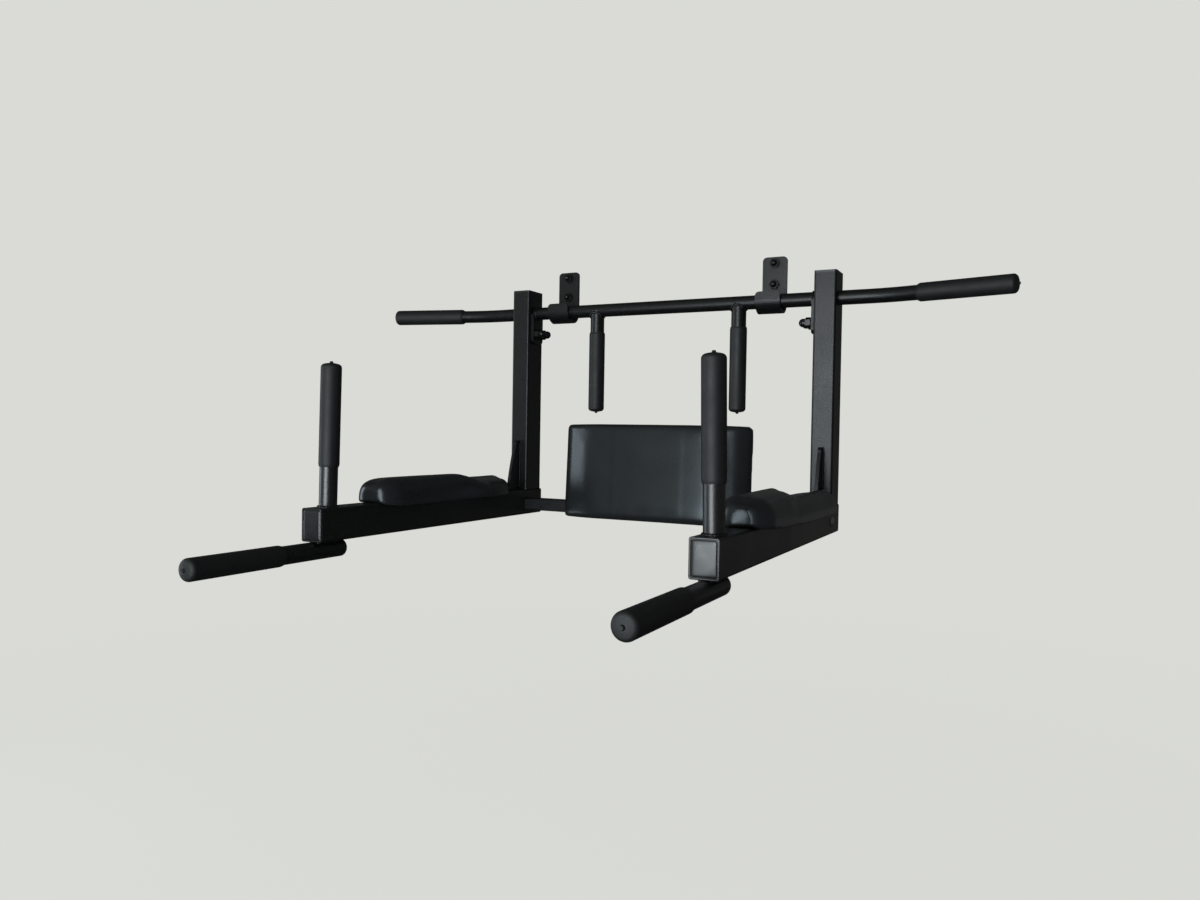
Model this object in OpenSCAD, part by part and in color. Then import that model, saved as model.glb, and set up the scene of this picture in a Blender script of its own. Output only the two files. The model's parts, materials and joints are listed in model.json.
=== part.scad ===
// Wall-hung station for dips, leg raises and pull-ups.
// Two J-shaped hooks are fastened to the wall. The frame hangs in them by its pull-up bar and its
// lower end leans on the wall. X runs along the bar, +Y points into the wall, +Z is up.
// The origin is on the wall, in the middle of the four anchor studs.

/* [Wall hooks] */
// Distance between the two hooks, middle to middle
hook_spacing = 446; // [430:1:456]
// Width of the steel strip that each hook is bent from
hook_w = 47; // [40:1:50]
// Thickness of the strip
hook_t = 5; // [4:0.5:6]
// Inside radius of the round cup that takes the bar
cup_r = 20.8; // [20.4:0.1:24]
// Drop from the middle of the studs to the middle of the cup
cup_drop = 52; // [48:1:60]
// Height of the lip above the middle of the cup
lip_h = 13; // [8:1:20]
// Corner radius of the strip's two ends
hook_corner_r = 8; // [4:1:12]
// Distance between the upper and the lower stud of a hook
stud_gap = 40; // [36:1:50]
// Strip left above the upper stud
stud_edge = 12; // [11:1:20]
// Direction in which the bar bears on the cup, below level
seat_angle = 30; // [20:1:40]
// How far the hung frame sits to the right of the middle of the hooks
hang_shift = 12; // [-15:1:15]

/* [Wall fasteners] */
// Diameter of the anchor studs' threads
stud_d = 10; // [8:1:10]
// Diameter of the anchors' sleeves, which go into the wall
anchor_d = 12; // [11:1:14]
// Length of the anchors in the wall
anchor_len = 30; // [20:1:50]
// Outside diameter of the washers on the studs
stud_washer_d = 20; // [18:0.5:22]
// Width across the flats of the cap nuts on the studs
stud_nut_af = 16; // [15:1:17]
// Height of the cap nuts on the studs
stud_nut_h = 11; // [10:0.5:12]

/* [Posts and arms] */
// Distance between the two posts, middle to middle
post_spacing = 638; // [620:1:660]
// Width of the posts and of the arms
post_w = 40; // [38:1:45]
// Depth of the posts, from the wall side to the front
post_d = 56; // [50:1:58]
// Height of the frame, from the underside of the arms to the top of the posts
frame_h = 471; // [465:1:500]
// Height of the bar's axis above the underside of the arms
bar_height = 424; // [410:1:430]
// Length of the arms, from the back of the posts to their front ends
arm_len = 642; // [630:1:680]
// Height of the arms
arm_h = 52; // [48:1:56]
// Wall thickness of the posts, the arms and the crossbar
tube_wall = 2; // [1.5:0.25:2.5]
// Outside corner radius of the posts and arms
tube_corner_r = 4; // [3:0.5:5]
// Thickness of the heads of the end plugs
plug_head = 4; // [3:0.5:5]
// Depth of the skirts of the end plugs
plug_skirt = 16; // [12:1:20]
// Height of the gussets on the arms
gusset_h = 103; // [90:1:120]
// Depth of the gussets at their foot
gusset_foot = 41; // [30:1:45]
// Depth of the gussets at their top
gusset_top = 16; // [12:1:20]
// Thickness of the gussets
gusset_t = 6; // [4:1:8]

/* [Pull-up bar] */
// Diameter of the pull-up bar
bar_d = 26; // [25:0.5:27]
// Wall thickness of the bar
bar_wall = 2.5; // [2:0.5:3]
// Distance from the middle of the bar to the start of each bend
wing_start = 385; // [375:1:395]
// Radius of the bends, on the axis of the bar
wing_bend_r = 300; // [200:10:320]
// Angle by which each end of the bar is bent to the front
wing_angle = 14; // [8:1:20]
// Straight length beyond each bend
wing_len = 175; // [170:1:220]

/* [Bar fixing] */
// Width of the ears that are welded under the bar
tab_w = 38; // [36:1:42]
// Thickness of the ears
tab_t = 6; // [4:1:8]
// Drop from the bar's axis to the bottom of the ears
tab_drop = 64; // [60:1:70]
// Drop from the bar's axis to the studs through the ears
tab_stud_drop = 44; // [41:1:46]
// Distance between the two studs of an ear
tab_stud_gap = 21; // [20.6:0.1:22]
// Diameter of the studs through the ears
tab_stud_d = 12; // [10:1:12]
// Outside diameter of the washers on the ears
tab_washer_d = 20.5; // [19:0.1:20.5]
// Width across the flats of the cap nuts on the ears
tab_nut_af = 17.5; // [17:0.1:17.7]
// Height of the cap nuts on the ears
tab_nut_h = 22; // [18:1:24]

/* [Handles and grips] */
// Diameter of the handle tubes
handle_d = 28; // [25:0.5:28.5]
// Wall thickness of the handle tubes
handle_wall = 2; // [1.5:0.25:2.5]
// Outside diameter of the rubber grips
grip_d = 32; // [31.5:0.5:34]
// Length of the grips, without the nub
grip_len = 162; // [140:1:165]
// Thickness of the closed ends of the grips
grip_end = 5; // [5:0.5:7]
// Radius of the rounded edge at the closed ends of the grips
grip_round = 6.5; // [4:0.5:7]
// Length of the taper at the open ends of the grips
grip_taper = 4; // [2:0.5:8]
// Height of the nub on each closed end
nub_h = 2.5; // [1:0.5:4]
// Distance from the front ends of the arms to the upright handles
handle_setback = 35; // [30:1:60]
// Height at which the upright grips begin, above the arms
handle_clear = 63; // [50:1:75]
// Angle by which the upright handles lean to the middle
handle_lean = 1.2; // [0:0.1:3]
// Distance of the hanging handles from the middle of the bar
neutral_x = 151; // [140:1:160]
// Drop from the bar's axis to the start of the hanging grips
neutral_clear = 45; // [35:1:55]
// Length of each dip handle that lies under its arm
dip_overlap = 60; // [50:1:90]
// Length of bare tube on the dip handles
dip_clear = 120; // [100:1:130]
// Thickness of the rounded caps in the back ends of the dip handles
dip_cap = 6; // [5:0.5:8]

/* [Crossbar] */
// Outside size of the square crossbar
cross_size = 25; // [22:1:28]
// How far the crossbar stands in front of the posts
cross_front = 5; // [2:1:10]
// Height of the crossbar's axis above the underside of the arms
cross_z = 22; // [20:1:30]
// Diameter of the bolts that hold the crossbar
cross_bolt_d = 10; // [8:1:10]
// Diameter of the heads of those bolts
cross_head_d = 18; // [16:1:20]
// Length of the threaded blocks inside the crossbar's ends
cross_block = 16; // [14:1:24]

/* [Back pad] */
// Width of the back pad
back_w = 386; // [370:2:400]
// Height of the back pad
back_h = 186; // [180:1:200]
// Thickness of the foam in front of the board
back_foam = 35; // [30:1:45]
// Thickness of the board
back_board_t = 12; // [10:1:15]
// Radius of the pad's rounded sides
back_side_r = 40; // [25:1:42]
// Radius of the pad's top and bottom edges
back_edge_r = 10; // [6:1:14]
// Extra thickness in the middle of the pad
back_crown = 3; // [0:0.5:6]
// Angle by which the pad leans back to the wall
back_tilt = 3.5; // [0:0.5:5]
// How far the pad reaches below the top of the crossbar
back_drop = 31; // [26:1:34]
// Distance of each strap from the middle
strap_x = 90; // [70:1:120]
// Width of the straps
strap_w = 30; // [24:1:40]
// Thickness of the straps
strap_t = 4; // [3:0.5:5]
// Height of the straps above the crossbar
strap_h = 135; // [125:1:145]

/* [Elbow pads] */
// Length of the elbow pads on arms of the usual length
elbow_len = 413; // [395:1:420]
// Width of an elbow pad from the middle of the arm to its outer side
elbow_outer_hw = 42; // [38:1:46]
// Width of an elbow pad from the middle of the arm to its inner side
elbow_inner_hw = 40; // [36:1:44]
// Length of the high front lobe, on the middle of the arm
elbow_lobe_len = 178; // [160:1:200]
// Height of the front lobe above the arm, on its middle
elbow_front_h = 40; // [34:1:44]
// Rise of the front lobe to its inner side
elbow_lobe_rise = 4; // [0:0.5:6]
// Height of the rear part above the arm, on its middle
elbow_rear_h = 27; // [24:1:32]
// Rise of the rear part to its outer rim
elbow_rise = 5.5; // [0:0.5:8]
// Length of the rounded front end
elbow_nose = 36; // [26:1:44]
// Length of the rounding at the inner rear corner
elbow_tail = 85; // [60:1:95]
// Depth to which the inner side reaches down past the top of the arm
elbow_skirt = 5.5; // [4:0.5:10]
// Depth to which the outer side reaches down past the top of the arm
elbow_outer_skirt = 11; // [6:0.5:14]
// Height of the underside over the arm at the outer front corner
elbow_lift = 4; // [0:0.5:8]
// Gap between the elbow pad and the gusset
elbow_gap = 2; // [1:0.5:4]
// Width of the board inside an elbow pad
elbow_board_w = 50; // [44:1:54]
// Thickness of the board inside an elbow pad
elbow_board_t = 10; // [8:1:12]

/* [Pad fasteners] */
// Diameter of the bolts that hold the pads
pad_bolt_d = 8; // [6:1:8]
// Diameter of the heads of those bolts
pad_head_d = 14; // [12:1:16]
// Diameter of the flanges of the tee nuts
tee_flange_d = 22; // [18:1:24]

/* [Fits] */
// Gap between the bar and the cup
hang_gap = 0.3; // [0.2:0.05:0.5]
// Clearance per side of the bar in the posts
bar_fit = 0.3; // [0.1:0.05:0.5]
// Clearance per side of a thread
thread_fit = 0.05; // [0.02:0.01:0.1]
// Clearance per side of a bolt in a plain hole
hole_fit = 0.25; // [0.1:0.05:0.5]
// Clearance per side of a plug or block in its tube
plug_fit = 0.1; // [0.05:0.05:0.3]
// Clearance per side of a grip on its tube
grip_fit = 0.05; // [0.02:0.01:0.1]
// Clearance between a cushion and the pieces inside it
pad_fit = 0.3; // [0.1:0.05:0.4]

/* [Hidden] */
$fn = 96;

steel_black = "#2b2c2e";
grip_black = "#1f1f20";
plug_black = "#252628";
vinyl_black = "#242526";
nut_black = "#1b1c1e";
zinc = "#a2a5a8";
plywood = "#a5835b";

bar_r = bar_d / 2;
cup_y = -(hook_t + cup_r);
cup_z = -cup_drop;
seat = cup_r - bar_r - hang_gap;
bar_y = cup_y - seat * cos(seat_angle);
bar_z = cup_z - seat * sin(seat_angle);

side_x = post_spacing / 2;
post_back = bar_y + post_d / 2;
post_front = bar_y - post_d / 2;
arm_base = bar_z - bar_height;
arm_top = arm_base + arm_h;
post_top = arm_base + frame_h;
arm_front = post_back - arm_len;

washer_t = 2;
nut_hex_part = 0.42;
nut_dome_part = 0.45;
thread_depth_part = 0.62;
ear_washer_t = 2;
ear_stud_z = bar_z - tab_stud_drop;
ear_corner_r = 9;
stud_flange_d = 18;
stud_flange_t = 3;

cross_y = post_front - cross_front + cross_size / 2;
cross_height = arm_base + cross_z;
cross_top = cross_height + cross_size / 2;
cross_face = cross_y - cross_size / 2;
cross_corner_r = 3;

handle_y = arm_front + handle_setback;
upright_len = handle_clear + grip_len - grip_end;
hanging_len = neutral_clear + grip_len - grip_end;
dip_z = arm_base - handle_d / 2;
dip_back = arm_front + dip_overlap;
dip_len = dip_clear + grip_len - grip_end;

board_edge = 8;
tee_z = [30, 110];
elbow_back = post_front - gusset_foot - elbow_gap;
usual_arm_len = 642;
elbow_pad_len = elbow_len + arm_len - usual_arm_len;
elbow_board_len = elbow_pad_len - 84;
elbow_board_back = elbow_back - 68;
elbow_corner = 34;
elbow_bolt_y = [elbow_back - 0.24 * elbow_pad_len, elbow_back - 0.8 * elbow_pad_len];
tee_barrel_d = pad_bolt_d + 2;
tee_flange_t = 1.5;

// The frame's own middle, where it hangs in the hooks
module hung() translate([hang_shift, 0, 0]) children();

// A side of the frame: +X of the child points away from the middle
module at_side(side) hung() translate([side * side_x, 0, 0]) mirror([side < 0 ? 1 : 0, 0, 0]) children();

// A flat outline in Y and Z, thickened along X about the middle
module across(t) rotate([90, 0, 90]) linear_extrude(t, center = true) children();

// A flat outline in X and Z, thickened to the front from y = 0
module forward(t) rotate([90, 0, 0]) linear_extrude(t) children();

// A round rod or hole along X, about the middle
module along_x(d, len) rotate([0, 90, 0]) cylinder(d = d, h = len, center = true);

module rounded_rect(w, h, r) {
    square([w - 2 * r, h], center = true);
    square([w, h - 2 * r], center = true);
    for (x = [-1, 1], y = [-1, 1]) translate([x * (w / 2 - r), y * (h / 2 - r)]) circle(r = r);
}

module box_section(w, h, r) {
    difference() {
        rounded_rect(w, h, r);
        rounded_rect(w - 2 * tube_wall, h - 2 * tube_wall, r - tube_wall + 0.5);
    }
}

// A strip that stands on y = 0, with its two top corners rounded
module round_topped(w, h, r) {
    translate([-w / 2, 0]) square([w, h - r]);
    translate([r - w / 2, 0]) square([w - 2 * r, h]);
    for (x = [-1, 1]) translate([x * (w / 2 - r), h - r]) circle(r = r);
}

module washer(d, hole, t) {
    difference() {
        cylinder(d = d, h = t);
        translate([0, 0, -1]) cylinder(d = hole, h = t + 2);
    }
}

// A hexagon nut with a closed dome, open end at z = 0
module cap_nut(thread_d, af, h) {
    dome_r = min(nut_dome_part * af, (1 - nut_hex_part) * h);
    difference() {
        union() {
            cylinder(d = af / cos(30), h = nut_hex_part * h, $fn = 6);
            cylinder(r = dome_r, h = h - dome_r);
            translate([0, 0, h - dome_r]) intersection() {
                sphere(r = dome_r);
                cylinder(r = dome_r + 1, h = dome_r + 1);
            }
        }
        translate([0, 0, -1]) cylinder(d = thread_d + 2 * thread_fit, h = thread_depth_part * h + 1);
    }
}

// A button-headed screw: its head stands on z = 0 and its shank goes down
module button_screw(shank_d, len, head_d, dome = 0.3) {
    head_h = dome * head_d;
    dome_r = (head_d * head_d / 4 + head_h * head_h) / (2 * head_h);
    difference() {
        intersection() {
            translate([0, 0, head_h - dome_r]) sphere(r = dome_r);
            cylinder(d = head_d, h = head_h);
        }
        translate([0, 0, 0.4 * head_h]) cylinder(d = 0.42 * head_d, h = head_h, $fn = 6);
    }
    translate([0, 0, -len]) cylinder(d = shank_d, h = len);
}

module round_tube(d, wall, len) {
    difference() {
        cylinder(d = d, h = len);
        translate([0, 0, -1]) cylinder(d = d - 2 * wall, h = len + 2);
    }
}

// A rubber grip: tapered open end at z = 0, slightly domed closed end with a small nub
module grip(bore_d) {
    r = grip_d / 2;
    lip = 1;
    dome_r = 2.5 * r;
    round_x = r - grip_round;
    round_z = grip_len - dome_r + sqrt(pow(dome_r - grip_round, 2) - pow(round_x, 2));
    touch_x = round_x * dome_r / (dome_r - grip_round);
    nub_r = 3.4;
    nub_tip_r = 2;
    difference() {
        rotate_extrude() {
            polygon([[0, 0], [bore_d / 2 + grip_fit + lip, 0], [r, grip_taper], [r, round_z], [0, round_z]]);
            translate([round_x, round_z]) circle(r = grip_round);
            intersection() {
                translate([0, grip_len - dome_r]) circle(r = dome_r);
                translate([0, round_z]) square([touch_x, grip_len]);
            }
        }
        translate([0, 0, -1]) cylinder(d = bore_d + 2 * grip_fit, h = grip_len - grip_end + 1);
    }
    translate([0, 0, grip_len - 0.5]) cylinder(r1 = nub_r, r2 = nub_tip_r, h = nub_h + 0.5);
}

// A push-in end plug: its head stands on z = 0 and its skirt goes down
module end_plug(w, h) {
    skirt_w = w - 2 * tube_wall - 2 * plug_fit;
    skirt_h = h - 2 * tube_wall - 2 * plug_fit;
    skirt_r = tube_corner_r - tube_wall + 0.5;
    groove = [4, 6.5];
    difference() {
        linear_extrude(plug_head) rounded_rect(w, h, tube_corner_r);
        translate([0, 0, plug_head - 1.2]) linear_extrude(2) difference() {
            rounded_rect(w - groove[0], h - groove[0], 2.6);
            rounded_rect(w - groove[1], h - groove[1], 2);
        }
    }
    difference() {
        translate([0, 0, -plug_skirt]) linear_extrude(plug_skirt) rounded_rect(skirt_w, skirt_h, skirt_r);
        translate([0, 0, -plug_skirt - 1]) linear_extrude(plug_skirt + 1)
            rounded_rect(skirt_w - 5, skirt_h - 5, 1);
    }
}

// A closed skin through a stack of rings, each a list of the same number of points
module loft(rings) {
    n = len(rings[0]);
    m = len(rings);
    polyhedron(
        points = [for (ring = rings) each ring],
        faces = concat(
            [[for (i = [n - 1:-1:0]) i]],
            [[for (i = [0:n - 1]) (m - 1) * n + i]],
            [for (k = [0:m - 2], i = [0:n - 1])
                let (a = k * n + i, b = k * n + (i + 1) % n) each [[a, b, b + n], [a, b + n, a + n]]]
        ),
        convexity = 4
    );
}

// How far a rounded end draws in at a distance d from it
function draw_in(d, r) = d >= r ? 0 : r - sqrt(r * r - (r - d) * (r - d));
function signed_power(v, p) = sign(v) * pow(abs(v), p);
function smooth(t) = t <= 0 ? 0 : t >= 1 ? 1 : t * t * (3 - 2 * t);

// Wall hooks and their fasteners

module hook(side) {
    color(steel_black) translate([side * hook_spacing / 2, 0, 0]) difference() {
        union() {
            translate([0, 0, cup_z]) forward(hook_t)
                round_topped(hook_w, cup_drop + stud_gap / 2 + stud_edge, hook_corner_r);
            translate([0, -(hook_t + 2 * cup_r), cup_z]) forward(hook_t)
                round_topped(hook_w, lip_h, hook_corner_r);
            translate([0, cup_y, cup_z]) difference() {
                along_x(2 * (cup_r + hook_t), hook_w);
                along_x(2 * cup_r, hook_w + 2);
                translate([-hook_w, -2 * cup_r, 0]) cube([2 * hook_w, 4 * cup_r, 2 * cup_r]);
            }
        }
        for (z = [-1, 1]) translate([0, 1, z * stud_gap / 2]) rotate([90, 0, 0])
            cylinder(d = stud_d + 2 * hole_fit, h = hook_t + 2);
    }
}

module at_wall_studs() {
    for (x = [-1, 1], z = [-1, 1])
        translate([x * hook_spacing / 2, -hook_t, z * stud_gap / 2]) rotate([90, 0, 0]) children();
}

module wall_studs() {
    thread_len = washer_t + thread_depth_part * stud_nut_h - 1;
    color(zinc) at_wall_studs() translate([0, 0, -hook_t]) {
        translate([0, 0, -anchor_len]) cylinder(d = anchor_d, h = anchor_len);
        translate([0, 0, -1]) cylinder(d = stud_d, h = 1 + hook_t + thread_len);
    }
}

module wall_washers() {
    color(nut_black) at_wall_studs() washer(stud_washer_d, stud_d + 2 * hole_fit, washer_t);
}

module wall_cap_nuts() {
    color(nut_black) at_wall_studs() translate([0, 0, washer_t]) cap_nut(stud_d, stud_nut_af, stud_nut_h);
}

// Posts, arms and gussets

module post(side) {
    color(steel_black) at_side(side) difference() {
        translate([0, bar_y, arm_top]) linear_extrude(post_top - plug_head - arm_top)
            box_section(post_w, post_d, tube_corner_r);
        translate([0, bar_y, bar_z]) along_x(bar_d + 2 * bar_fit, post_w + 2);
        for (y = [-1, 1]) translate([-post_w / 2, bar_y + y * tab_stud_gap / 2, ear_stud_z])
            along_x(tab_stud_d + 2 * hole_fit, 2 * tube_wall + 1);
    }
}

module post_plug(side) {
    color(plug_black) at_side(side) translate([0, bar_y, post_top - plug_head]) end_plug(post_w, post_d);
}

module arm(side) {
    color(steel_black) at_side(side) difference() {
        translate([0, post_back, arm_base + arm_h / 2]) forward(arm_len - plug_head)
            box_section(post_w, arm_h, tube_corner_r);
        translate([0, cross_y, cross_height]) along_x(cross_bolt_d + 2 * hole_fit, post_w + 2);
        for (y = elbow_bolt_y) translate([0, y, arm_base - 1])
            cylinder(d = pad_bolt_d + 2 * hole_fit, h = arm_h + 2);
    }
}

module arm_front_plug(side) {
    color(plug_black) at_side(side) translate([0, arm_front + plug_head, arm_base + arm_h / 2])
        rotate([90, 0, 0]) end_plug(post_w, arm_h);
}

module arm_rear_plug(side) {
    color(plug_black) at_side(side) translate([0, post_back, arm_base + arm_h / 2])
        rotate([-90, 0, 0]) end_plug(post_w, arm_h);
}

module gusset(side) {
    corner_r = 8;
    bulge = 2.5;
    steps = 8;
    foot = [-gusset_foot, 0];
    shoulder = [-gusset_top, gusset_h - corner_r];
    color(steel_black) at_side(side) translate([0, post_front, arm_top]) across(gusset_t) polygon(concat(
        [[0, 0]],
        [for (i = [0:steps]) let (t = i / steps) foot + (shoulder - foot) * t - [4 * bulge * t * (1 - t), 0]],
        [for (a = [170:-20:90]) [-gusset_top + corner_r, gusset_h - corner_r] + corner_r * [cos(a), sin(a)]],
        [[0, gusset_h]]
    ));
}

// Pull-up bar, its ears and their fasteners

module at_wing(side) {
    hung() mirror([side < 0 ? 1 : 0, 0, 0])
        translate([wing_start + wing_bend_r * sin(wing_angle), bar_y - wing_bend_r * (1 - cos(wing_angle)), bar_z])
        rotate([0, 0, -wing_angle]) rotate([0, 90, 0]) children();
}

module pull_up_bar() {
    color(steel_black) {
        hung() translate([-wing_start, bar_y, bar_z]) rotate([0, 90, 0]) round_tube(bar_d, bar_wall, 2 * wing_start);
        for (side = [-1, 1]) {
            hung() mirror([side < 0 ? 1 : 0, 0, 0]) translate([wing_start, bar_y - wing_bend_r, bar_z])
                rotate([0, 0, 90 - wing_angle]) rotate_extrude(angle = wing_angle, $fn = 360)
                translate([wing_bend_r, 0]) difference() {
                    circle(d = bar_d, $fn = 96);
                    circle(d = bar_d - 2 * bar_wall, $fn = 96);
                }
            at_wing(side) round_tube(bar_d, bar_wall, wing_len);
        }
    }
}

module bar_ear(side) {
    ear_top = 3;
    color(steel_black) at_side(side) translate([-(post_w + tab_t) / 2, bar_y, bar_z]) difference() {
        across(tab_t) difference() {
            translate([0, -ear_top]) mirror([0, 1]) round_topped(tab_w, tab_drop - ear_top, ear_corner_r);
            circle(d = bar_d + 2 * plug_fit);
        }
        for (y = [-1, 1]) translate([0, y * tab_stud_gap / 2, -tab_stud_drop])
            along_x(tab_stud_d + 2 * hole_fit, tab_t + 2);
    }
}

// The four stud places, on the inner faces of the posts, with +Z of the child to the middle
module at_ear_studs() {
    for (side = [-1, 1], y = [-1, 1]) at_side(side)
        translate([-post_w / 2, bar_y + y * tab_stud_gap / 2, ear_stud_z]) rotate([0, -90, 0]) children();
}

module ear_studs() {
    thread_len = tab_t + ear_washer_t + thread_depth_part * tab_nut_h - 1;
    color(zinc) at_ear_studs() {
        translate([0, 0, -tube_wall - stud_flange_t]) cylinder(d = stud_flange_d, h = stud_flange_t);
        translate([0, 0, -tube_wall - 0.5]) cylinder(d = tab_stud_d, h = thread_len + tube_wall + 0.5);
    }
}

module ear_washers() {
    color(nut_black) at_ear_studs() translate([0, 0, tab_t])
        washer(tab_washer_d, tab_stud_d + 2 * hole_fit, ear_washer_t);
}

module ear_cap_nuts() {
    color(nut_black) at_ear_studs() translate([0, 0, tab_t + ear_washer_t])
        cap_nut(tab_stud_d, tab_nut_af, tab_nut_h);
}

module wing_grip(side) {
    color(grip_black) at_wing(side) translate([0, 0, wing_len + grip_end - grip_len]) grip(bar_d);
}

// Handles: hanging from the bar, upright on the arms, and straight ahead under the arms

module at_hanging(side) {
    hung() translate([side * neutral_x, bar_y, bar_z]) rotate([180, 0, 0]) children();
}

module hanging_tube(side) {
    color(steel_black) at_hanging(side) difference() {
        round_tube(handle_d, handle_wall, hanging_len);
        along_x(bar_d, 2 * handle_d);
    }
}

module hanging_grip(side) {
    color(grip_black) at_hanging(side) translate([0, 0, neutral_clear]) grip(handle_d);
}

module at_upright(side) {
    at_side(side) translate([0, handle_y, arm_top]) rotate([0, -handle_lean, 0]) children();
}

module upright_tube(side) {
    color(steel_black) difference() {
        at_upright(side) translate([0, 0, -1]) round_tube(handle_d, handle_wall, upright_len + 1);
        at_side(side) translate([-handle_d, handle_y - handle_d, arm_top - 5]) cube([2 * handle_d, 2 * handle_d, 5]);
    }
}

module upright_grip(side) {
    color(grip_black) at_upright(side) translate([0, 0, handle_clear]) grip(handle_d);
}

module at_dip(side) {
    at_side(side) translate([0, dip_back, dip_z]) rotate([90, 0, 0]) children();
}

module dip_tube(side) {
    color(steel_black) at_dip(side) round_tube(handle_d, handle_wall, dip_len);
}

module dip_tube_plug(side) {
    skirt_d = handle_d - 2 * handle_wall - 2 * plug_fit;
    round_r = dip_cap - 1;
    color(plug_black) at_dip(side) rotate([180, 0, 0]) {
        rotate_extrude() {
            square([handle_d / 2, dip_cap - round_r]);
            square([handle_d / 2 - round_r, dip_cap]);
            translate([handle_d / 2 - round_r, dip_cap - round_r]) intersection() {
                circle(r = round_r);
                square([round_r, round_r]);
            }
        }
        translate([0, 0, -12]) round_tube(skirt_d, 2, 12.5);
    }
}

module dip_grip(side) {
    color(grip_black) at_dip(side) translate([0, 0, dip_clear]) grip(handle_d);
}

// Crossbar

module crossbar() {
    color(steel_black) hung() translate([0, cross_y, cross_height]) across(post_spacing - post_w)
        box_section(cross_size, cross_size, cross_corner_r);
}

module crossbar_blocks() {
    block = cross_size - 2 * tube_wall - 2 * plug_fit;
    for (side = [-1, 1]) color(zinc) at_side(side)
        translate([-(post_w + cross_block) / 2, cross_y, cross_height]) difference() {
            across(cross_block) rounded_rect(block, block, cross_corner_r - tube_wall + 0.5);
            along_x(cross_bolt_d + 2 * thread_fit, cross_block + 2);
        }
}

module crossbar_bolts() {
    for (side = [-1, 1]) color(zinc) at_side(side) translate([post_w / 2, cross_y, cross_height])
        rotate([0, 90, 0]) button_screw(cross_bolt_d, post_w + cross_block - 2, cross_head_d);
}

// Back pad: straps on the crossbar, board, cushion and screws

// Front plane of the straps: z = 0 at the bend, +Y to the wall
module at_back_pad() {
    hung() translate([0, cross_face - strap_t, cross_top + strap_t * tan(back_tilt / 2)])
        rotate([-back_tilt, 0, 0]) children();
}

module at_back_screws() {
    for (x = [-1, 1], z = tee_z) translate([x * strap_x, 0, z]) rotate([-90, 0, 0]) children();
}

module back_straps() {
    up = [sin(back_tilt), cos(back_tilt)];
    out = [-cos(back_tilt), sin(back_tilt)];
    bend = [cross_face, cross_top];
    color(steel_black) for (x = [-1, 1]) difference() {
        hung() translate([x * strap_x, 0, 0]) across(strap_w) polygon([
            [cross_face, cross_top - cross_size + 2], bend, bend + strap_h * up, bend + strap_h * up + strap_t * out,
            [cross_face - strap_t, cross_top + strap_t * tan(back_tilt / 2)],
            [cross_face - strap_t, cross_top - cross_size + 2]
        ]);
        at_back_pad() at_back_screws() translate([0, 0, -1])
            cylinder(d = pad_bolt_d + 2 * hole_fit, h = strap_t + 2);
    }
}

module tee_nut_hole(board_t) {
    translate([0, 0, -1]) cylinder(d = tee_barrel_d + 2 * thread_fit, h = board_t + 2);
    translate([0, 0, board_t - tee_flange_t]) cylinder(d = tee_flange_d + 2 * hole_fit, h = tee_flange_t + 1);
}

module tee_nut(board_t) {
    difference() {
        union() {
            translate([0, 0, 1]) cylinder(d = tee_barrel_d, h = board_t - 1 - tee_flange_t / 2);
            translate([0, 0, board_t - tee_flange_t]) cylinder(d = tee_flange_d, h = tee_flange_t);
        }
        cylinder(d = pad_bolt_d + 2 * thread_fit, h = board_t + 1);
    }
}

module back_board() {
    w = back_w - 2 * board_edge;
    h = back_h - 2 * board_edge;
    color(plywood) at_back_pad() difference() {
        translate([0, 0, back_h / 2 - back_drop]) forward(back_board_t) rounded_rect(w, h, 10);
        at_back_screws() mirror([0, 0, 1]) tee_nut_hole(back_board_t);
    }
}

// Outline of the back cushion in X and Y at one height, drawn in by e all round
function back_ring(z, e, crown) =
    let (r = back_side_r - e / 2, hw = back_w / 2 - e, front = back_board_t + back_foam - e)
    concat(
        [[hw, 0, z]],
        [for (a = [0:15:90]) [hw - r + r * cos(a), -(front - r) - r * sin(a), z]],
        [for (t = [0.75:-0.25:-0.75]) [t * (hw - r), -front - crown * (1 - t * t), z]],
        [for (a = [90:15:180]) [r - hw + r * cos(a), -(front - r) - r * sin(a), z]],
        [[-hw, 0, z]]
    );

module back_cushion() {
    ends = [0, 0.5, 1.5, 3, 5, 7.5, 10];
    d = concat(
        [for (e = ends) e / 10 * back_edge_r],
        [for (t = [0.15:0.1:0.85]) back_edge_r + t * (back_h - 2 * back_edge_r)],
        [for (i = [6:-1:0]) back_h - ends[i] / 10 * back_edge_r]
    );
    color(vinyl_black) at_back_pad() difference() {
        loft([for (k = d)
            let (e = max(draw_in(k, back_edge_r), draw_in(back_h - k, back_edge_r)), t = 2 * k / back_h - 1)
            back_ring(k - back_drop, e, back_crown * (1 - t * t))]);
        translate([0, 1, back_h / 2 - back_drop]) forward(back_board_t + pad_fit + 1)
            rounded_rect(back_w - 2 * board_edge + 2 * pad_fit, back_h - 2 * board_edge + 2 * pad_fit, 10 + pad_fit);
    }
}

module back_screws() {
    color(zinc) at_back_pad() at_back_screws() translate([0, 0, strap_t])
        button_screw(pad_bolt_d, strap_t + back_board_t - 2, pad_head_d);
}

// Elbow pads: board, contoured cushion and bolts through the arm

module elbow_board(side) {
    color(plywood) at_side(side) difference() {
        translate([0, elbow_board_back - elbow_board_len / 2, arm_top]) linear_extrude(elbow_board_t)
            rounded_rect(elbow_board_w, elbow_board_len, 10);
        for (y = elbow_bolt_y) translate([0, y, arm_top]) tee_nut_hole(elbow_board_t);
    }
}

// From 0 at a rounded end to 1 at a distance a from it
function round_end(d, a, n = 2) = let (t = min(max(d / a, 0), 1)) pow(max(1 - pow(1 - t, n), 0), 1 / n);

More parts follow.
